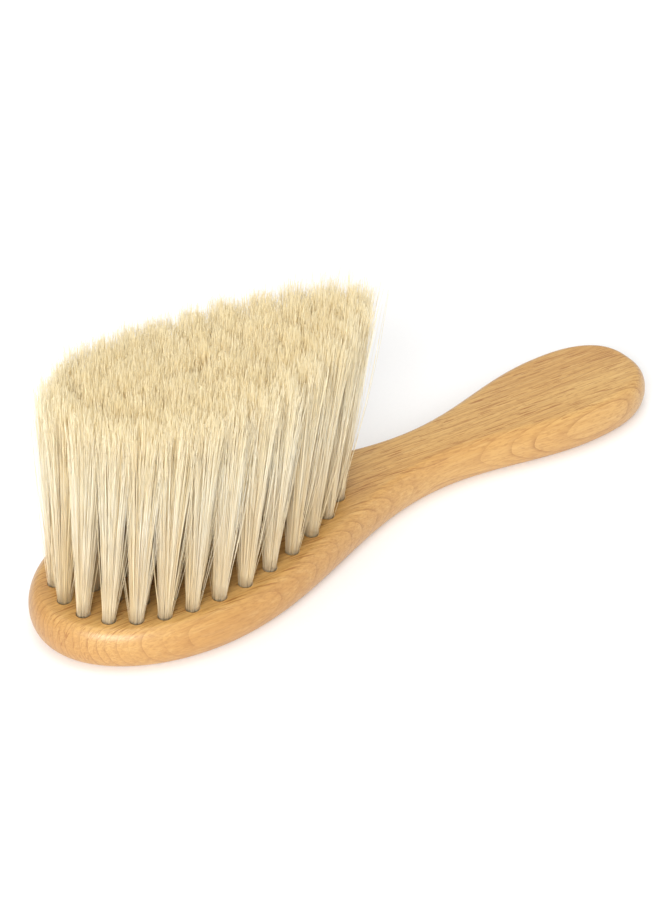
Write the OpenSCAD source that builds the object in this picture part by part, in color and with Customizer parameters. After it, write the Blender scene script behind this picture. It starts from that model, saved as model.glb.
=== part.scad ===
// Neck duster brush: a flat wooden board with a broad oval head, a waisted neck and a rounded
// grip. The head is drilled with rings of slightly leaning blind holes. Each hole holds one
// tuft of soft bristle, folded round a flat wire anchor that bites into the wood on both sides.
// X runs along the board from the head to the grip, Y across it and Z up through the tufts.
// The origin is under the middle of the board, on the face that it rests on.

/* [Board] */
// Overall length of the board
board_length = 220; // [215:1:230]
// Thickness of the board
board_thickness = 13.8; // [12.5:0.1:16]
// Depth of the rounded edge, measured in from the outline
edge_depth = 4.2; // [2:0.1:5]
// Half width of the head where it is widest
head_half_width = 31.7; // [31:0.1:34]
// Distance from the head's tip to its widest point
head_reach = 45.9; // [44:0.1:50]
// Half width of the neck where it is narrowest
neck_half_width = 10.3; // [9:0.1:12]
// Distance from the head's tip to the narrowest point of the neck
neck_reach = 135.8; // [133:0.1:140]
// Half width of the grip where it is widest
grip_half_width = 18.5; // [15:0.1:20]
// Distance from the head's tip to the widest point of the grip
grip_reach = 191.2; // [180:0.1:195]
// Squareness of the grip's end: 2 is a plain ellipse
grip_power = 2.47; // [2:0.01:3]

/* [Tufts] */
// Height of the bristle tips above the board, along each tuft
tuft_height = 66.5; // [40:0.5:80]
// Radius of a tuft where it leaves its hole
tuft_root_radius = 1.9; // [1.6:0.05:1.9]
// Radius of a tuft at its tips
tuft_tip_radius = 3.2; // [2:0.05:3.2]
// Lean of every tuft towards the grip, in degrees
tuft_lean = 3.8; // [0:0.1:5]
// Extra outward lean of a tuft at the rim of the head, in degrees
tuft_fan = 2.5; // [0:0.1:4]

/* [Holes] */
// Radius of a tuft hole
hole_radius = 1.95; // [1.95:0.01:2.1]
// Depth of a tuft hole
hole_depth = 9; // [6:0.1:10]

/* [Wire anchors] */
// Length of an anchor, a little more than the hole's diameter
anchor_length = 4.6; // [4.3:0.1:5]
// Thickness of the flat wire
anchor_thickness = 0.4; // [0.3:0.05:0.6]
// Height of the flat wire
anchor_height = 1.6; // [1:0.1:2]

/* [Hidden] */
$fn = 48;

// Rings of holes, from the rim inwards. Each is [holes, distance of its tip, of its widest
// point and of its neck end from the head's tip, half width].
outer_ring = [26, 8.7, 44.8, 103.4, 24];
second_ring = [20, 18.2, 45.5, 94.4, 17];
third_ring = [14, 27, 47, 83.8, 9.2];

// The straight row along the middle: [holes, distance of the first from the head's tip, pitch]
centre_row = [5, 36, 8.6];

// How square the rings are at the head's tip, and how they narrow towards the neck
ring_tip_power = 2.22;
ring_neck_power = 1.73;
ring_neck_fullness = 0.68;
// How much closer than average the holes stand where they are closest, and how far along
// half a ring that is, in degrees of 360
ring_crowding = 0.117;
crowding_at = 67;
// Middle of the tuft field, and its half length and half width, from which the tufts fan out
field_middle = 56;
field_half_length = 48;
field_half_width = 24;
// The anchor's clearance above the bottom of the hole, filled by the fold of the bristles
fold_height = 1;
// How far the drill starts above the board, so that a leaning hole opens right through
drill_run = 1;

// Resolution of the board: stations along each stretch of the outline, and levels up the edge
tip_stations = 16;
waist_stations = 26;
grip_stations = 14;
edge_levels = 12;
// Steps that measure the length round half a ring
ring_steps = 90;

outer_names = numbered("tuft_outer_", outer_ring[0]);
second_names = numbered("tuft_second_", second_ring[0]);
centre_names = numbered("tuft_centre_", centre_row[0]);

// --- Outline of the board ---

// Rises from 0 at u = 1 to 1 at u = 0, as a quarter of a superellipse
function arch(u, power) = pow(max(0, 1 - pow(abs(u), power)), 1 / power);

// Smooth change from a to b as t goes from 0 to 1
function ease(a, b, t) = a + (b - a) * (1 - cos(180 * t)) / 2;

// One half of the outline, as [x, half width], as t goes from 0 to 3: head, waist, grip
function outline(t) =
    t <= 1 ? [head_reach * (1 - cos(90 * t)), head_half_width * sin(90 * t)]
    : t <= 2 ? let (x = head_reach + (grip_reach - head_reach) * (t - 1)) [x, waist(x)]
    : let (u = sin(90 * (t - 2)))
      [grip_reach + (board_length - grip_reach) * u, grip_half_width * arch(u, grip_power)];

function waist(x) =
    x < neck_reach
    ? ease(head_half_width, neck_half_width, (x - head_reach) / (neck_reach - head_reach))
    : ease(neck_half_width, grip_half_width, (x - neck_reach) / (grip_reach - neck_reach));

// Unit normal that points out of the outline at t
function outward(t) =
    t <= 0 ? [-1, 0]
    : t >= 3 ? [1, 0]
    : let (step = 0.001, d = outline(t + step) - outline(t - step)) [-d[1], d[0]] / norm(d);

stations = concat(
    [for (i = [0 : tip_stations - 1]) i / tip_stations],
    [for (i = [0 : waist_stations - 1]) 1 + i / waist_stations],
    [for (i = [0 : grip_stations]) 2 + i / grip_stations]
);

// The closed loop of outline points, moved in by the distance d
function loop(d) =
    let (
        side = [for (t = stations) outline(t) - d * outward(t)],
        last = len(side) - 1
    )
    concat(side, [for (i = [1 : last - 1]) [side[last - i][0], -side[last - i][1]]]);

// --- Where the tufts stand ---

function two_digits(i) = str(i < 10 ? "0" : "", i);
function numbered(prefix, count) = [for (i = [1 : count]) str(prefix, two_digits(i))];

// Point on half of a ring, as the angle a goes from 0 at the head's tip to 180 at the neck
function ring_point(ring, a) =
    let (u = -cos(a))
    u < 0
    ? [ring[2] + (ring[2] - ring[1]) * u, ring[4] * arch(u, ring_tip_power)]
    : [
        ring[2] + (ring[3] - ring[2]) * u,
        ring[4] * pow(max(0, 1 - pow(u, ring_neck_power)), ring_neck_fullness)
    ];

function ring_angle(step) = 180 * step / ring_steps;

// Pairs of [length along the ring so far, angle], for lookup()
function ring_lengths(ring) = [
    for (i = 0, s = 0; i <= ring_steps;
         s = s + norm(ring_point(ring, ring_angle(i + 1)) - ring_point(ring, ring_angle(i))),
         i = i + 1)
    [s, ring_angle(i)]
];

// Share of half a ring's length that lies before a hole, where even spacing would make it t
function crowded(t) =
    t - ring_crowding * (sin(360 * t - crowding_at) + sin(crowding_at)) / (2 * PI);

// Place of every hole in a ring. One hole is on the axis at the tip, the others come in
// pairs, and a ring of an even number has one more on the axis at its neck end.
function ring_places(ring) =
    let (lengths = ring_lengths(ring), total = lengths[ring_steps][0], half = ring[0] / 2)
    [
        for (k = [-ceil(half - 1) : floor(half)])
        let (p = ring_point(ring, lookup(crowded(abs(k) / half) * total, lengths)))
        [p[0], sign(k) * p[1]]
    ];

outer_places = ring_places(outer_ring);
second_places = ring_places(second_ring);
third_places = ring_places(third_ring);
centre_places = [for (k = [0 : centre_row[0] - 1]) [centre_row[1] + k * centre_row[2], 0]];
all_places = concat(outer_places, second_places, third_places, centre_places);

// Puts a child, made along +Z from the board's top face, on the axis of the tuft at p
module on_axis(p) {
    along = tuft_lean + tuft_fan / 2 * (p[0] - field_middle) / field_half_length;
    across = tuft_fan * p[1] / field_half_width;
    translate([p[0] - board_length / 2, p[1], board_thickness])
        rotate([-across, along, 0])
            children();
}

// --- Sub-parts ---

// The flat middle of the board, as far as the edge starts to round off
module board_core() {
    linear_extrude(board_thickness)
        polygon(loop(edge_depth));
}

// The rounded edge, a closed band of half-elliptical section that meets the core's wall
module board_edge() {
    count = 2 * len(stations) - 2;
    points = [
        for (i = [0 : edge_levels])
        let (rise = -90 + 180 * i / edge_levels)
        for (p = loop(edge_depth * (1 - cos(rise))))
        [p[0], p[1], board_thickness * (1 + sin(rise)) / 2]
    ];
    outside = [
        for (i = [0 : edge_levels - 1], j = [0 : count - 1])
        let (a = i * count + j, b = i * count + (j + 1) % count)
        [a, b, b + count, a + count]
    ];
    inside = [
        for (j = [0 : count - 1])
        let (next = (j + 1) % count, top = edge_levels * count)
        [next, j, top + j, top + next]
    ];
    polyhedron(points, concat(outside, inside));
}

module hole() {
    translate([0, 0, -hole_depth])
        cylinder(r = hole_radius, h = hole_depth + drill_run);
}

module anchor() {
    translate([0, 0, fold_height + anchor_height / 2 - hole_depth])
        cube([anchor_length, anchor_thickness, anchor_height], center = true);
}

module board() {
    color("burlywood")
        difference() {
            translate([-board_length / 2, 0, 0]) {
                board_core();
                board_edge();
            }
            for (p = all_places)
                on_axis(p) {
                    hole();
                    anchor();
                }
        }
}

module wire_anchors() {
    color("gold")
        for (p = all_places) on_axis(p) anchor();
}

module tuft(p) {
    color("cornsilk")
        on_axis(p)
            difference() {
                union() {
                    translate([0, 0, -hole_depth]) cylinder(r = tuft_root_radius, h = hole_depth);
                    cylinder(r1 = tuft_root_radius, r2 = tuft_tip_radius, h = tuft_height);
                }
                anchor();
            }
}

module tufts_third_ring() {
    for (p = third_places) tuft(p);
}

board();
wire_anchors();
tufts_third_ring();
for (i = [0 : outer_ring[0] - 1])
    tuft(outer_places[i]);
for (i = [0 : second_ring[0] - 1])
    tuft(second_places[i]);
for (i = [0 : centre_row[0] - 1])
    tuft(centre_places[i]);
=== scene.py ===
"""Looks for the neck duster brush: a lacquered beech board with tufts of soft cream bristle.

The board is rebuilt as a smooth drilled solid, every tuft becomes loose bristles that grow out
of its own hole, and the flat wire anchors keep their CAD shape. All lengths are in metres.
"""
import math
from collections import namedtuple

import bpy
import numpy as np
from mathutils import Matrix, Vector


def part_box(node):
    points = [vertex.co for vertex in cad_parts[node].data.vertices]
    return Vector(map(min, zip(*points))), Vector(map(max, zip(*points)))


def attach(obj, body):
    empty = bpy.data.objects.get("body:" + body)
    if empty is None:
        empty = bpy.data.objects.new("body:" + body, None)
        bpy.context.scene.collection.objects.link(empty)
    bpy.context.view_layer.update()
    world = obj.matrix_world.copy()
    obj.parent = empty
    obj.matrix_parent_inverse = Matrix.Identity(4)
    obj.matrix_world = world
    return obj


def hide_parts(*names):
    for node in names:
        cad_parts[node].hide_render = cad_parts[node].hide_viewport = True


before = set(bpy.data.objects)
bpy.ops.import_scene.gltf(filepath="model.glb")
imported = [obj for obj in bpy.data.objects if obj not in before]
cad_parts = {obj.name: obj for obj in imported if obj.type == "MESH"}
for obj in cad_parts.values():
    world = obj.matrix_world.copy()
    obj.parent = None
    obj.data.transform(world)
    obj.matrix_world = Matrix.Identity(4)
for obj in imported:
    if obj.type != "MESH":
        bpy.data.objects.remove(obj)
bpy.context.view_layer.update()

MM = 0.001

# A tuft's CAD node, its number in the node (0 if alone), and where it stands: its foot on the
# board's top face, the unit vector along it, and its height above its foot
Tuft = namedtuple("Tuft", "node number foot axis height")

# --- Board: the same driving dimensions as the CAD model ---
EDGE_DEPTH = 4.2 * MM
HEAD_REACH = 45.9 * MM
HEAD_HALF_WIDTH = 31.7 * MM
NECK_REACH = 135.8 * MM
NECK_HALF_WIDTH = 10.3 * MM
GRIP_REACH = 191.2 * MM
GRIP_HALF_WIDTH = 18.5 * MM
GRIP_POWER = 2.47
HEAD_STATIONS, WAIST_STATIONS, GRIP_STATIONS = 44, 110, 40
EDGE_LEVELS = 26

# --- Tuft holes ---
HOLE_RADIUS = 1.95 * MM
HOLE_DEPTH = 9 * MM
RIM_CHAMFER = 0.16 * MM
RIM_WEAR = 0.06 * MM
HOLE_SIDES = 40
# Edges sharper than this stay sharp when the board is shaded smooth
SHARP_ANGLE = math.radians(35)

# --- Reading the CAD tufts ---
# Points that agree to this many digits, in metres, are one corner of a solid
WELD_DIGITS = 6
# How far the corners of a leaning tuft's flat bottom and top can differ in height
BOTTOM_TILT, TOP_TILT = 0.5 * MM, 1 * MM

# --- Bristles: each is a thin rod, modelled from a little inside its hole ---
BRISTLES_PER_TUFT = 640
BRISTLE_SIDES = 3
# Shares of a bristle's length at which it may change direction
BRISTLE_STATIONS = np.array([0.0, 0.13, 0.45, 0.76, 0.90, 1.0])
BRISTLE_RADIUS = 0.056 * MM
BRISTLE_TIP_RADIUS = 0.042 * MM
TAPER_START = 0.80
TAPER_POWER = 1.3
GIRTH_RANGE = (0.8, 1.2)
ROOT_DEPTH = 2.5 * MM

# Radius of a tuft at the board and at its tips, and how it widens in between
ROOT_SPREAD = 1.78 * MM
TIP_SPREAD = 5.2 * MM
SPREAD_RANGE = (0.9, 1.1)
FLARE_POWER = 1.02
# 0.5 seats the bristles evenly over the tuft, more draws them to its middle
SEAT_CROWDING = 0.52

# Bristles cling together in a few locks, and above the middle in many fine wisps
LOCKS_PER_TUFT, WISPS_PER_TUFT = 8, 34
LOCK_PULL, WISP_PULL = 0.09, 0.25
WISP_POWER = 3
# Sideways wander: of whole wisps and bristles, near the tips only, and at every station
BEND, BEND_POWER = 0.78 * MM, 2
TIP_CURL, CURL_POWER = 0.76 * MM, 7
RIPPLE, RIPPLE_GROWTH = 0.05 * MM, 4

# Height that a bristle reaches, as a share of the tuft's: domed, uneven, some cut shorter
REACH_MIDDLE, REACH_DOME = 1.01, 0.05
BRISTLE_UNEVENNESS, WISP_UNEVENNESS = 0.012, 0.016
SHORT_SHARE, SHORT_BY = 0.4, 0.14
REACH_RANGE = (0.78, 1.06)

# A few bristles of the outside leave the tuft low down and stand off from it
STRAY_SHARE = 0.06
STRAY_FRINGE = 0.6
STRAY_SLOPE = (0.04, 0.20)
STRAY_RISE = 30 * MM
STRAY_TURN = 0.5

# Tone of a bristle, from 0, straw, to 1, cream. Painted shade darkens the inner rings' tufts and
# the middle of every tuft, and painted light pales the outer tufts' outward sides.
OUTER_PALENESS, INNER_PALENESS = 0.57, 0.38
FRINGE_TONE = 0.30
# Painted light: how much paler an outer tuft is on its outward side
LIT_SIDE_TONE = 0.22
TONE_VARIATION = 0.11

# The tuft field on the board. Its tips are drawn in at the head's tip and at the back rim,
# and the bristles at the back rim are trimmed a little.
FIELD_MIDDLE = -54 * MM
FIELD_HALF_LENGTH = 48 * MM
FIELD_HALF_WIDTH = 24 * MM
GATHER = 3.4 * MM
FAR_TRIM = 0.07

# Seeds of the random draws: one for the board, and one for each tuft from this number on
BOARD_SEED = 7
FIRST_TUFT_SEED = 1000

# --- Camera: the viewing angle of the product view ---
VIEW_AZIMUTH = math.radians(-35.4)
VIEW_ELEVATION = math.radians(37)
VIEW_DISTANCE = 0.7
VIEW_TARGET = Vector((0.0103, 0.0286, 0.0))
VIEW_LENS = 88.84
SENSOR_LONG_SIDE = 36

# --- Studio ---
LIGHTS_TARGET = (-0.03, 0, 0.03)
# Each softbox: name, place, size, power in watts, colour
SOFTBOXES = (
    ("key_softbox", (-1.45, -1.25, 1.05), (1.2, 1.0), 42, (1.0, 0.985, 0.96)),
    ("fill_softbox", (0.75, -0.75, 0.40), (0.6, 0.6), 0.7, (0.98, 0.99, 1.0)),
    ("top_softbox", (-0.06, 0.0, 0.95), (0.5, 0.4), 1.5, (1, 1, 1)),
)
FLOOR_HALF_SIDE = 3
# Just under the board, so that the two faces don't lie in one plane
FLOOR_LEVEL = -0.1 * MM
WORLD_COLOUR, WORLD_STRENGTH = (1, 0.98, 0.93, 1), 0.8
# Pale bristle passes light on many times before it fades
LIGHT_BOUNCES = 16


# --- Nodes and materials ---

class Shader:
    """A material's node tree, with short calls to add and join nodes."""

    def __init__(self, name):
        self.material = bpy.data.materials.new(name)
        self.material.use_nodes = True
        self.tree = self.material.node_tree
        self.surface = self.tree.nodes["Principled BSDF"]

    def add(self, kind, inputs=None, **settings):
        node = self.tree.nodes.new(kind)
        for key, value in settings.items():
            setattr(node, key, value)
        for key, value in (inputs or {}).items():
            self.put(node.inputs[key], value)
        return node

    def put(self, socket, value):
        """Joins an output to the socket, or sets the socket's own value."""
        if isinstance(value, bpy.types.NodeSocket):
            self.tree.links.new(value, socket)
        else:
            socket.default_value = value

    def math(self, operation, *values):
        node = self.add("ShaderNodeMath", operation=operation)
        for socket, value in zip(node.inputs, values):
            self.put(socket, value)
        return node.outputs[0]

    def plus(self, first, second):
        return self.math("ADD", first, second)

    def minus(self, first, second):
        return self.math("SUBTRACT", first, second)

    def times(self, first, second):
        return self.math("MULTIPLY", first, second)

    def power(self, base, exponent):
        return self.math("POWER", base, exponent)

    def absolute(self, value):
        return self.math("ABSOLUTE", value)

    def coordinates(self, kind):
        return self.add("ShaderNodeTexCoord").outputs[kind]

    def axes(self, vector):
        return self.add("ShaderNodeSeparateXYZ", {"Vector": vector}).outputs

    def attribute(self, name):
        """A value that the mesh holds at each of its points."""
        return self.add("ShaderNodeAttribute", attribute_name=name).outputs["Fac"]

    def noise(self, vector, scale=1.0, detail=2.0, roughness=0.5):
        node = self.add("ShaderNodeTexNoise", {
            "Vector": vector, "Scale": scale, "Detail": detail, "Roughness": roughness})
        return node.outputs["Fac"]

    def stretched(self, vector, scale, rotation=(0, 0, 0)):
        """The vector times the scale, so that noise on it has that many waves a metre."""
        node = self.add("ShaderNodeMapping", {
            "Vector": vector, "Scale": scale, "Rotation": rotation})
        return node.outputs[0]

    def streaks(self, vector, scale, detail, roughness=0.5):
        """Noise with its own waves a metre along each axis."""
        return self.noise(self.stretched(vector, scale), detail=detail, roughness=roughness)

    def ramp(self, factor, low, high, low_value=0.0, high_value=1.0):
        """From low_value to high_value as the factor goes from low to high, and held beyond."""
        node = self.add("ShaderNodeMapRange", {
            "Value": factor, "From Min": low, "From Max": high,
            "To Min": low_value, "To Max": high_value})
        return node.outputs[0]

    def mix(self, factor, first, second):
        node = self.add("ShaderNodeMix", data_type="RGBA")
        self.put(node.inputs["Factor"], factor)
        self.put(node.inputs["A"], first)
        self.put(node.inputs["B"], second)
        return node.outputs["Result"]

    def layered(self, colour, *layers):
        """The colour with tints laid over it in turn, each given as (mask, tint)."""
        for mask, tint in layers:
            colour = self.mix(mask, colour, tint)
        return colour

    def bump(self, height, distance, strength):
        node = self.add("ShaderNodeBump", {
            "Height": height, "Distance": distance, "Strength": strength})
        self.put(self.surface.inputs["Normal"], node.outputs[0])

    def finish(self, **values):
        """Sets or joins the surface's inputs, named with _ for a space."""
        for key, value in values.items():
            self.put(self.surface.inputs[key.replace("_", " ")], value)
        return self.material


def growth_rings(shader, place):
    """How far a point lies through its growth ring, 0 to 1, and how strongly that ring shows.

    The rings are wavering cylinders round a pith that runs along X, outside the board.
    """
    pith_y, pith_z = 0.16, -0.03
    ring_pitch, ring_phase = 0.00194, 0.41
    sway_width, pace_width = 0.0042, 0.0022
    faintest, strongest = 0.25, 1.0
    axes = shader.axes(place)
    radius = shader.power(shader.plus(
        shader.power(shader.minus(axes["Y"], pith_y), 2.0),
        shader.power(shader.minus(axes["Z"], pith_z), 2.0)), 0.5)
    sway = shader.streaks(place, (9, 40, 40), detail=3)
    outwards = shader.add("ShaderNodeCombineXYZ", {"X": radius}).outputs[0]
    pace = shader.noise(outwards, scale=230, detail=1)
    waver = shader.plus(shader.times(sway, sway_width), shader.times(pace, pace_width))
    count = shader.math("DIVIDE", shader.plus(radius, waver), ring_pitch)
    count = shader.minus(count, ring_phase)
    chance = shader.add(
        "ShaderNodeTexWhiteNoise", {"W": shader.math("FLOOR", count)}, noise_dimensions="1D")
    strength = shader.ramp(chance.outputs["Value"], 0.1, 0.9, faintest, strongest)
    return shader.math("FRACT", count), strength


def ring_lines(shader, place, through_ring, strength, facing):
    """The dark line that ends each ring: broken on the flat faces, nearly whole on the edges."""
    sharpness = 9.0
    flat = shader.ramp(shader.absolute(facing["Z"]), 0.75, 0.98)
    broken = shader.ramp(shader.streaks(place, (110, 420, 420), detail=2), 0.42, 0.58)
    whole = shader.ramp(shader.streaks(place, (90, 300, 300), detail=3), 0.34, 0.50)
    shown = shader.plus(shader.times(broken, flat), shader.times(whole, shader.minus(1.0, flat)))
    line = shader.times(shader.power(through_ring, sharpness), strength)
    at_ends = shader.ramp(shader.absolute(facing["X"]), 0.1, 0.8, 0.72, 1.0)
    return shader.times(shader.times(line, shown), at_ends)


def beech():
    """Lacquered steamed beech: growth rings standing on edge, fine dark dashes, soft streaks, and
    painted shade on the edges and ends.
    """
    shader = Shader("beech_lacquered")
    place = shader.coordinates("Object")
    facing = shader.axes(shader.coordinates("Normal"))
    through_ring, ring_strength = growth_rings(shader, place)
    ring_line = ring_lines(shader, place, through_ring, ring_strength, facing)
    ring_band = shader.power(through_ring, 3.0)

    grain_angle = math.radians(6)
    along_grain = shader.stretched(place, (1, 1, 1), rotation=(0, 0, grain_angle))
    broad = shader.ramp(shader.streaks(place, (10, 60, 60), detail=2), 0.35, 0.65)
    flake = shader.streaks(along_grain, (75, 1100, 500), detail=2)
    fine = shader.streaks(along_grain, (32, 1500, 1500), detail=4, roughness=0.7)
    pores = shader.streaks(along_grain, (420, 2100, 2100), detail=1)
    dashes = shader.ramp(shader.streaks(along_grain, (140, 2700, 330), detail=0.6), 0.645, 0.68)
    dashes = shader.times(dashes, shader.ramp(shader.absolute(facing["Y"]), 0.45, 0.85, 1.0, 0.0))
    # Painted shade: the edges and ends are darkened by the way they face; at the ends it is also
    # end grain taking up more lacquer
    end_grain_and_shade = shader.ramp(shader.absolute(facing["X"]), 0.3, 0.95, 0.0, 0.4)
    painted_side_shade = shader.ramp(shader.absolute(facing["Y"]), 0.3, 0.9, 0.0, 0.26)

    honey, straw = (0.535, 0.294, 0.086, 1), (0.612, 0.376, 0.129, 1)
    flake_gold, ring_brown = (0.70, 0.47, 0.19, 1), (0.29, 0.125, 0.033, 1)
    line_brown, dash_brown = (0.23, 0.088, 0.020, 1), (0.30, 0.120, 0.026, 1)
    end_grain_and_shade_brown = (0.36, 0.165, 0.045, 1)
    colour = shader.layered(
        shader.mix(broad, honey, straw),
        (shader.ramp(flake, 0.54, 0.66, 0.0, 0.30), flake_gold),
        (shader.ramp(fine, 0.45, 0.62, 0.0, 0.32), ring_brown),
        (shader.ramp(pores, 0.54, 0.66, 0.0, 0.30), ring_brown),
        (shader.times(ring_band, 0.15), ring_brown),
        (ring_line, line_brown),
        (shader.times(dashes, 0.80), dash_brown),
        (shader.math("MAXIMUM", end_grain_and_shade, painted_side_shade), end_grain_and_shade_brown))
    relief = shader.minus(shader.times(fine, 0.3), dashes)
    shader.bump(relief, distance=0.03 * MM, strength=0.5)
    return shader.finish(
        Base_Color=colour, Roughness=shader.ramp(fine, 0.2, 0.8, 0.38, 0.5),
        Coat_Weight=0.35, Coat_Roughness=0.25, Specular_IOR_Level=0.45)


def raw_beech():
    """Freshly cut beech inside the holes: paler than the lacquered face and dull."""
    shader = Shader("beech_raw")
    fibre = shader.streaks(shader.coordinates("Object"), (300, 3000, 3000), detail=2)
    shade, light = (0.60, 0.42, 0.22, 1), (0.74, 0.56, 0.33, 1)
    shader.bump(fibre, distance=0.03 * MM, strength=0.6)
    return shader.finish(
        Base_Color=shader.mix(fibre, shade, light), Roughness=0.8, Specular_IOR_Level=0.3)


def bristle():
    """Soft natural bristle, cream. Painted shade makes it darker towards the tips and deeper gold
    down towards the wood; it is also darker in its hole.
    """
    shader = Shader("bristle_cream")
    tone, along = shader.attribute("tone"), shader.attribute("along")
    mottle = shader.streaks(shader.coordinates("Object"), (500, 500, 90), detail=1)
    straw, cream = (0.86, 0.67, 0.31, 1), (0.97, 0.95, 0.83, 1)
    painted_tip_shade, painted_shade_gold, root = (0.90, 0.79, 0.52, 1), (0.76, 0.555, 0.26, 1), (0.76, 0.60, 0.34, 1)
    colour = shader.layered(
        shader.mix(tone, straw, cream),
        (shader.ramp(mottle, 0.3, 0.7, 0.0, 0.25), straw),
        # Painted shade: darker tips, and deeper gold on the lower bristles, where the tuft field
        # lies in shade
        (shader.ramp(along, 0.62, 0.97, 0.0, 0.6), painted_tip_shade),
        (shader.ramp(along, 0.22, 0.66, 0.48, 0.0), painted_shade_gold),
        (shader.ramp(along, 0.0, 0.036, 0.5, 0.0), root))
    return shader.finish(
        Base_Color=colour, Roughness=shader.ramp(tone, 0.0, 1.0, 0.5, 0.42),
        Specular_IOR_Level=0.12, Subsurface_Weight=0.1,
        Subsurface_Radius=(0.0012, 0.0009, 0.0005), Subsurface_Scale=1.0)


def anchor_wire():
    """Drawn flat brass wire, a little dull."""
    shader = Shader("anchor_wire_brass")
    drawn = shader.streaks(shader.coordinates("Object"), (300, 6000, 6000), detail=2)
    bright, dark = (0.74, 0.50, 0.20, 1), (0.58, 0.36, 0.13, 1)
    shader.bump(drawn, distance=0.01 * MM, strength=0.5)
    return shader.finish(
        Base_Color=shader.mix(drawn, bright, dark), Metallic=1.0,
        Roughness=shader.ramp(drawn, 0.2, 0.8, 0.25, 0.42))


def paper():
    """Plain pale studio paper with a barely visible tooth."""
    shader = Shader("studio_paper")
    tooth = shader.noise(shader.coordinates("Object"), scale=900, detail=2)
    grey, white = (0.90, 0.91, 0.94, 1), (0.93, 0.94, 0.97, 1)
    shader.bump(tooth, distance=0.05 * MM, strength=0.2)
    return shader.finish(Base_Color=shader.mix(tooth, grey, white), Roughness=0.85)


# --- Mesh helpers ---

def new_object(name, data):
    """A new object in the scene, of a mesh, light or camera."""
    thing = bpy.data.objects.new(name, data)
    bpy.context.scene.collection.objects.link(thing)
    return thing


def new_piece(name, vertices, faces, material):
    """A new mesh object of one material, from lists."""
    mesh = bpy.data.meshes.new(name)
    mesh.from_pydata(vertices, [], faces)
    mesh.materials.append(material)
    return new_object(name, mesh)


def skin(start, rings, sides, clockwise=False):
    """Faces that close a stack of rings of points, numbered from start, lowest ring first."""
    faces = []
    for low in range(start, start + (rings - 1) * sides, sides):
        for k in range(sides):
            a, b = low + k, low + (k + 1) % sides
            if clockwise:
                a, b = b, a
            faces.append((a, b, b + sides, a + sides))
    bottom = tuple(range(start, start + sides))
    top = tuple(range(start + (rings - 1) * sides, start + rings * sides))
    return faces + ([bottom, top[::-1]] if clockwise else [bottom[::-1], top])


def side_axes(axis):
    """Two unit vectors square to the axis and to each other."""
    first = Vector((0, 1, 0)).cross(axis).normalized()
    return first, axis.cross(first)


# --- Where the tufts stand, read from the CAD solids ---

def loose_solids(node):
    """The vertices of each separate solid in a CAD node, as arrays."""
    mesh = node.data
    points = np.round(np.array([v.co for v in mesh.vertices]), WELD_DIGITS)
    _, same = np.unique(points, axis=0, return_inverse=True)
    same = same.ravel()
    parent = list(range(same.max() + 1))

    def root(i):
        while parent[i] != i:
            parent[i] = parent[parent[i]]
            i = parent[i]
        return i

    for polygon in mesh.polygons:
        first, *others = (root(same[i]) for i in polygon.vertices)
        for other in others:
            parent[root(other)] = root(first)
    groups = np.array([root(i) for i in same])
    return [np.unique(points[groups == g], axis=0) for g in np.unique(groups)]


def tuft_axis(points):
    """A tuft solid's axis: the centres of its bottom end and of its top end."""
    low, high = points[:, 2].min(), points[:, 2].max()
    bottom = points[points[:, 2] < low + BOTTOM_TILT].mean(axis=0)
    top = points[points[:, 2] > high - TOP_TILT].mean(axis=0)
    return Vector(bottom), Vector(top)


def read_tufts():
    """Every tuft of the CAD model, in the order of the nodes' names."""
    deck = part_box("board")[1][2]
    tufts = []
    for name in sorted(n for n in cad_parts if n.startswith("tuft")):
        solids = sorted(loose_solids(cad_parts[name]), key=lambda p: tuple(p.mean(axis=0)))
        for number, points in enumerate(solids, start=1):
            bottom, top = tuft_axis(points)
            axis = (top - bottom).normalized()
            foot = bottom + axis * ((deck - bottom.z) / axis.z)
            shown_number = number if len(solids) > 1 else 0
            tufts.append(Tuft(name, shown_number, foot, axis, (top - foot).length))
    return tufts


# --- Board ---

def ease(a, b, t):
    """Smooth change from a to b as t goes from 0 to 1."""
    return a + (b - a) * (1 - math.cos(math.pi * t)) / 2


def half_outline(t, length):
    """Point on half of the outline as t goes from 0 to 3: head, waist, grip."""
    if t <= 1:
        angle = t * math.pi / 2
        return HEAD_REACH * (1 - math.cos(angle)), HEAD_HALF_WIDTH * math.sin(angle)
    if t <= 2:
        x = HEAD_REACH + (GRIP_REACH - HEAD_REACH) * (t - 1)
        if x < NECK_REACH:
            share = (x - HEAD_REACH) / (NECK_REACH - HEAD_REACH)
            return x, ease(HEAD_HALF_WIDTH, NECK_HALF_WIDTH, share)
        share = (x - NECK_REACH) / (GRIP_REACH - NECK_REACH)
        return x, ease(NECK_HALF_WIDTH, GRIP_HALF_WIDTH, share)
    u = math.sin((t - 2) * math.pi / 2)
    width = max(0.0, 1 - u ** GRIP_POWER) ** (1 / GRIP_POWER)
    return GRIP_REACH + (length - GRIP_REACH) * u, GRIP_HALF_WIDTH * width


def outward(t, length):
    """Unit normal of the outline at t."""
    if t <= 0:
        return -1, 0
    if t >= 3:
        return 1, 0
    step = 0.001
    (x0, y0), (x1, y1) = half_outline(t - step, length), half_outline(t + step, length)
    size = math.hypot(x1 - x0, y1 - y0)
    return -(y1 - y0) / size, (x1 - x0) / size


def stations():
    """Every t at which the outline has a point, closer together where it curves more."""
    counts = (HEAD_STATIONS, WAIST_STATIONS, GRIP_STATIONS)
    return [part + i / n for part, n in enumerate(counts) for i in range(n)] + [3]


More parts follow.
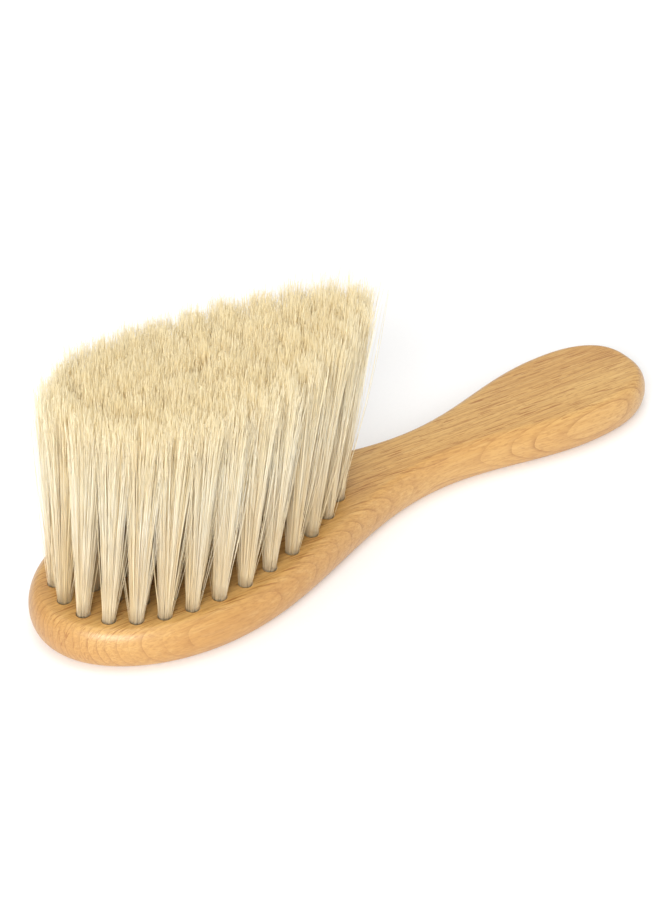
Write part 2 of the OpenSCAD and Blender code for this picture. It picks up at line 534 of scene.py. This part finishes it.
def board_blank(material):
    """The board before drilling: a flat slab with an elliptical edge all round."""
    low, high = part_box("board")
    length, thickness = high[0] - low[0], high[2] - low[2]
    side = [(half_outline(t, length), outward(t, length)) for t in stations()]
    loop = side + [((x, -y), (nx, -ny)) for (x, y), (nx, ny) in reversed(side[1:-1])]
    vertices = []
    for level in range(EDGE_LEVELS + 1):
        rise = math.pi * (level / EDGE_LEVELS - 0.5)
        inset = EDGE_DEPTH * (1 - math.cos(rise))
        z = low[2] + thickness * (1 + math.sin(rise)) / 2
        vertices += [(low[0] + x - inset * nx, y - inset * ny, z) for (x, y), (nx, ny) in loop]
    faces = skin(0, EDGE_LEVELS + 1, len(loop), clockwise=True)
    return new_piece("board_beech", vertices, faces, material)


def drill_bits(tufts, rng):
    """One closed turned cutter for each hole, with a small worn chamfer at its mouth."""
    profile = (
        (-HOLE_DEPTH, HOLE_RADIUS), (-2 * RIM_CHAMFER, HOLE_RADIUS),
        (0.0, HOLE_RADIUS + RIM_CHAMFER), (2 * RIM_CHAMFER, HOLE_RADIUS + 3 * RIM_CHAMFER))
    vertices, faces = [], []
    for tuft in tufts:
        u, v = side_axes(tuft.axis)
        faces += skin(len(vertices), len(profile), HOLE_SIDES)
        wear = rng.normal(0, RIM_WEAR, HOLE_SIDES)
        wear = (wear + np.roll(wear, 1) + np.roll(wear, -1)) / 3
        for height, radius in profile:
            for k in range(HOLE_SIDES):
                angle = 2 * math.pi * k / HOLE_SIDES
                spoke = u * math.cos(angle) + v * math.sin(angle)
                worn = radius + (abs(wear[k]) if height >= 0 else 0)
                vertices.append(tuft.foot + tuft.axis * height + spoke * worn)
    return vertices, faces


def make_board(tufts, rng):
    """The drilled board, which shows raw wood inside its holes."""
    board = board_blank(beech())
    bits = new_piece("drill_bits", *drill_bits(tufts, rng), raw_beech())
    cut = board.modifiers.new("holes", "BOOLEAN")
    cut.object, cut.operation, cut.solver = bits, "DIFFERENCE", "EXACT"
    cut.material_mode = "TRANSFER"
    bpy.context.view_layer.update()
    drilled = bpy.data.meshes.new_from_object(
        board.evaluated_get(bpy.context.evaluated_depsgraph_get()))
    board.modifiers.clear()
    board.data = drilled
    bpy.data.objects.remove(bits)
    drilled.shade_smooth()
    drilled.set_sharp_from_angle(angle=SHARP_ANGLE)
    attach(board, "root")
    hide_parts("board")


# --- Bristles ---

def disc_points(count, rng, crowding=0.5):
    """Random points in the unit disc: 0.5 spreads them evenly, more draws them to the middle."""
    angle = rng.uniform(0, 2 * math.pi, count)
    radius = rng.uniform(0, 1, count) ** crowding
    return np.stack([radius * np.cos(angle), radius * np.sin(angle)], axis=1)


def nearest_of(seat, centres):
    """For every seat, the index of the closest centre."""
    return np.argmin(np.linalg.norm(seat[:, None] - centres[None], axis=2), axis=1)


def outer_place(foot):
    """How far a tuft stands towards the head's tip and towards the back rim, each 0 to 1."""
    tipward = (FIELD_MIDDLE - foot[0]) / FIELD_HALF_LENGTH
    backward = foot[1] / FIELD_HALF_WIDTH
    return np.clip([tipward, backward], 0, 1)


def painted_light_side(foot):
    """Unit vector from the tuft field out through a tuft's foot: the side that painted light makes
    paler.
    """
    away = np.array([
        (foot[0] - FIELD_MIDDLE) / FIELD_HALF_LENGTH ** 2, foot[1] / FIELD_HALF_WIDTH ** 2])
    return away / np.linalg.norm(away)


def reaches(fringe, in_wisp, rng):
    """The share of the tuft's height that each bristle reaches."""
    count = len(fringe)
    reach = REACH_MIDDLE - REACH_DOME * fringe ** 2 + rng.normal(0, BRISTLE_UNEVENNESS, count)
    reach += rng.normal(0, WISP_UNEVENNESS, WISPS_PER_TUFT)[in_wisp]
    is_short = rng.uniform(0, 1, count) < SHORT_SHARE
    reach -= np.where(is_short, rng.uniform(0, SHORT_BY, count), 0)
    return np.clip(reach, *REACH_RANGE)


def add_wander(aside, rise, in_wisp, rng):
    """Bends wisps and single bristles, curls the tips and adds small ripples."""
    count = len(aside)
    aside += rng.normal(0, BEND, (WISPS_PER_TUFT, 2))[in_wisp][:, None] * rise ** BEND_POWER
    aside += rng.normal(0, BEND, (count, 2))[:, None] * rise ** BEND_POWER
    aside += rng.normal(0, TIP_CURL, (count, 2))[:, None] * rise ** CURL_POWER
    aside += rng.normal(0, RIPPLE, aside.shape) * np.clip(rise * RIPPLE_GROWTH, 0, 1)


def add_strays(aside, up, seat, fringe, rng):
    """Lets a few outside bristles stand off from the tuft, ever less steeply as they rise."""
    is_stray = (rng.uniform(0, 1, len(seat)) < STRAY_SHARE) & (fringe > STRAY_FRINGE)
    for i in np.flatnonzero(is_stray):
        slope = rng.uniform(*STRAY_SLOPE)
        run = STRAY_RISE * (1 - np.exp(-np.clip(up[i], 0, None) / STRAY_RISE))
        turn = rng.normal(0, STRAY_TURN)
        way = np.array([math.cos(turn) * seat[i, 0] - math.sin(turn) * seat[i, 1],
                        math.sin(turn) * seat[i, 0] + math.cos(turn) * seat[i, 1]])
        aside[i] += way / fringe[i] * (slope * run)[:, None]


def tones(tuft, seat, fringe, in_wisp, rng):
    """Each bristle's tone: paler in the outer ring and at a tuft's fringe, most on its outside, as
    painted light and shade, and varied at random.
    """
    outer = tuft.node.startswith("tuft_outer")
    # Painted shade: a darker tone for the inner rings and for a tuft's middle
    tone = (OUTER_PALENESS if outer else INNER_PALENESS) + FRINGE_TONE * (fringe ** 2 - 0.5)
    if outer:
        # Painted light: paler on the tuft's outward side
        tone = tone + LIT_SIDE_TONE * seat @ painted_light_side(tuft.foot)
    tone = tone + rng.normal(0, TONE_VARIATION, WISPS_PER_TUFT)[in_wisp]
    tone = tone + rng.normal(0, TONE_VARIATION, len(seat))
    return np.clip(tone, 0, 1)


def bristle_paths(tuft, backward, rng):
    """Every bristle's sideways offset and distance along the axis at every station, and tone."""
    height = tuft.height * (1 - FAR_TRIM * backward)
    seat = disc_points(BRISTLES_PER_TUFT, rng, SEAT_CROWDING)
    locks, wisps = disc_points(LOCKS_PER_TUFT, rng), disc_points(WISPS_PER_TUFT, rng)
    in_lock, in_wisp = nearest_of(seat, locks), nearest_of(seat, wisps)
    fringe = np.linalg.norm(seat, axis=1)

    reach = height * reaches(fringe, in_wisp, rng)
    up = (reach + ROOT_DEPTH)[:, None] * BRISTLE_STATIONS - ROOT_DEPTH
    rise = np.clip(up / height, 0, None)[..., None]
    tip_spread = TIP_SPREAD * rng.uniform(*SPREAD_RANGE)
    spread = ROOT_SPREAD + (tip_spread - ROOT_SPREAD) * rise ** FLARE_POWER
    unit = seat[:, None] + (locks[in_lock] - seat)[:, None] * LOCK_PULL * rise
    unit = unit + (wisps[in_wisp] - seat)[:, None] * WISP_PULL * rise ** WISP_POWER
    aside = unit * spread
    add_wander(aside, rise, in_wisp, rng)
    add_strays(aside, up, seat, fringe, rng)
    return aside, up, tones(tuft, seat, fringe, in_wisp, rng)


def rod_points(centre, u, v, rng):
    """The corners of every bristle's section at every station, tapering towards the tip."""
    count = len(centre)
    taper = np.clip((BRISTLE_STATIONS - TAPER_START) / (1 - TAPER_START), 0, 1) ** TAPER_POWER
    radius = BRISTLE_RADIUS + (BRISTLE_TIP_RADIUS - BRISTLE_RADIUS) * taper
    girth = rng.uniform(*GIRTH_RANGE, count)[:, None] * radius
    corner = np.arange(BRISTLE_SIDES) * 2 * math.pi / BRISTLE_SIDES
    turn = rng.uniform(0, 2 * math.pi, count)[:, None] + corner
    spoke = np.cos(turn)[..., None] * u + np.sin(turn)[..., None] * v
    return centre[:, :, None] + girth[:, :, None, None] * spoke[:, None]


def rod_faces(count):
    """Point numbers of all the rods' walls and ends in one row, and each face's point count."""
    rings, sides = len(BRISTLE_STATIONS), BRISTLE_SIDES
    grid = np.arange(count * rings * sides).reshape(count, rings, sides)
    after = np.roll(grid, -1, axis=2)
    walls = np.stack([grid[:, :-1], after[:, :-1], after[:, 1:], grid[:, 1:]], axis=-1)
    ends = np.concatenate([grid[:, 0, ::-1], grid[:, -1]])
    sizes = np.repeat([4, sides], [walls.size // 4, len(ends)])
    return np.concatenate([walls.ravel(), ends.ravel()]), sizes


def array_mesh(name, points, corners, sizes):
    """A mesh from arrays, which is much faster than from lists."""
    mesh = bpy.data.meshes.new(name)
    mesh.vertices.add(points.size // 3)
    mesh.vertices.foreach_set("co", points.astype(np.float32).ravel())
    mesh.loops.add(len(corners))
    mesh.loops.foreach_set("vertex_index", corners.astype(np.int32))
    mesh.polygons.add(len(sizes))
    mesh.polygons.foreach_set("loop_start", (np.cumsum(sizes) - sizes).astype(np.int32))
    mesh.update(calc_edges=True)
    mesh.validate()
    return mesh


def add_attribute(mesh, name, values):
    """Gives the mesh a value at each of its points, which its material reads by name."""
    layer = mesh.attributes.new(name, "FLOAT", "POINT")
    layer.data.foreach_set("value", values.astype(np.float32))


def bristle_mesh(name, tuft, rng):
    """Every bristle of a tuft as a thin closed three-sided rod."""
    tipward, backward = outer_place(tuft.foot)
    aside, up, tone = bristle_paths(tuft, backward, rng)
    u, v = (np.array(side) for side in side_axes(tuft.axis))
    centre = np.array(tuft.foot) + up[..., None] * np.array(tuft.axis)
    centre = centre + aside[..., :1] * u + aside[..., 1:] * v
    rise = np.clip(up / tuft.height, 0, None)[..., None]
    centre = centre + GATHER * rise * np.array([tipward, -backward, 0])

    count, rings = up.shape
    mesh = array_mesh(name, rod_points(centre, u, v, rng), *rod_faces(count))
    add_attribute(mesh, "tone", np.repeat(tone, rings * BRISTLE_SIDES))
    add_attribute(mesh, "along", np.tile(np.repeat(BRISTLE_STATIONS, BRISTLE_SIDES), count))
    return mesh


def make_tuft(index, tuft, material):
    """A tuft's loose bristles as one piece, in the place of its CAD solid."""
    node = tuft.node
    name = node.replace("tuft", "bristles", 1) + (f"_{tuft.number:02d}" if tuft.number else "")
    mesh = bristle_mesh(name, tuft, np.random.default_rng(FIRST_TUFT_SEED + index))
    mesh.shade_smooth()
    mesh.materials.append(material)
    piece = new_object(name, mesh)
    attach(piece, "root")
    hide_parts(node)


# --- Studio ---

def look_at(thing, target):
    """Turns a camera or light, which look along their own -Z, to the target."""
    thing.rotation_euler = (Vector(target) - thing.location).to_track_quat("-Z", "Y").to_euler()


def make_camera():
    camera = new_object("camera", bpy.data.cameras.new("camera"))
    camera.data.sensor_width = SENSOR_LONG_SIDE
    camera.data.lens = VIEW_LENS
    back = Vector((
        math.sin(VIEW_AZIMUTH) * math.cos(VIEW_ELEVATION),
        -math.cos(VIEW_AZIMUTH) * math.cos(VIEW_ELEVATION),
        math.sin(VIEW_ELEVATION)))
    camera.location = VIEW_TARGET + back * VIEW_DISTANCE
    look_at(camera, VIEW_TARGET)
    bpy.context.scene.camera = camera


def make_softbox(name, place, size, power, colour):
    light = bpy.data.lights.new(name, "AREA")
    light.shape, light.size, light.size_y = "RECTANGLE", *size
    light.energy, light.color = power, colour
    softbox = new_object(name, light)
    softbox.location = place
    look_at(softbox, LIGHTS_TARGET)


def make_floor():
    side = FLOOR_HALF_SIDE
    corners = [(x, y, FLOOR_LEVEL) for x, y in (
        (-side, -side), (side, -side), (side, side), (-side, side))]
    floor = new_piece("floor", corners, [(0, 1, 2, 3)], paper())


def make_world():
    world = bpy.data.worlds.new("studio_white")
    world.use_nodes = True
    background = world.node_tree.nodes["Background"].inputs
    background["Color"].default_value = WORLD_COLOUR
    background["Strength"].default_value = WORLD_STRENGTH
    bpy.context.scene.world = world


def make_studio():
    make_floor()
    for softbox in SOFTBOXES:
        make_softbox(*softbox)
    make_world()
    scene = bpy.context.scene
    scene.view_settings.view_transform = "Standard"
    scene.cycles.diffuse_bounces = LIGHT_BOUNCES
    scene.cycles.max_bounces = LIGHT_BOUNCES


make_camera()
make_studio()
ALL_TUFTS = read_tufts()
make_board(ALL_TUFTS, np.random.default_rng(BOARD_SEED))
BRISTLE = bristle()
for position, one_tuft in enumerate(ALL_TUFTS):
    make_tuft(position, one_tuft, BRISTLE)
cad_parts["wire_anchors"].material_slots[0].material = anchor_wire()
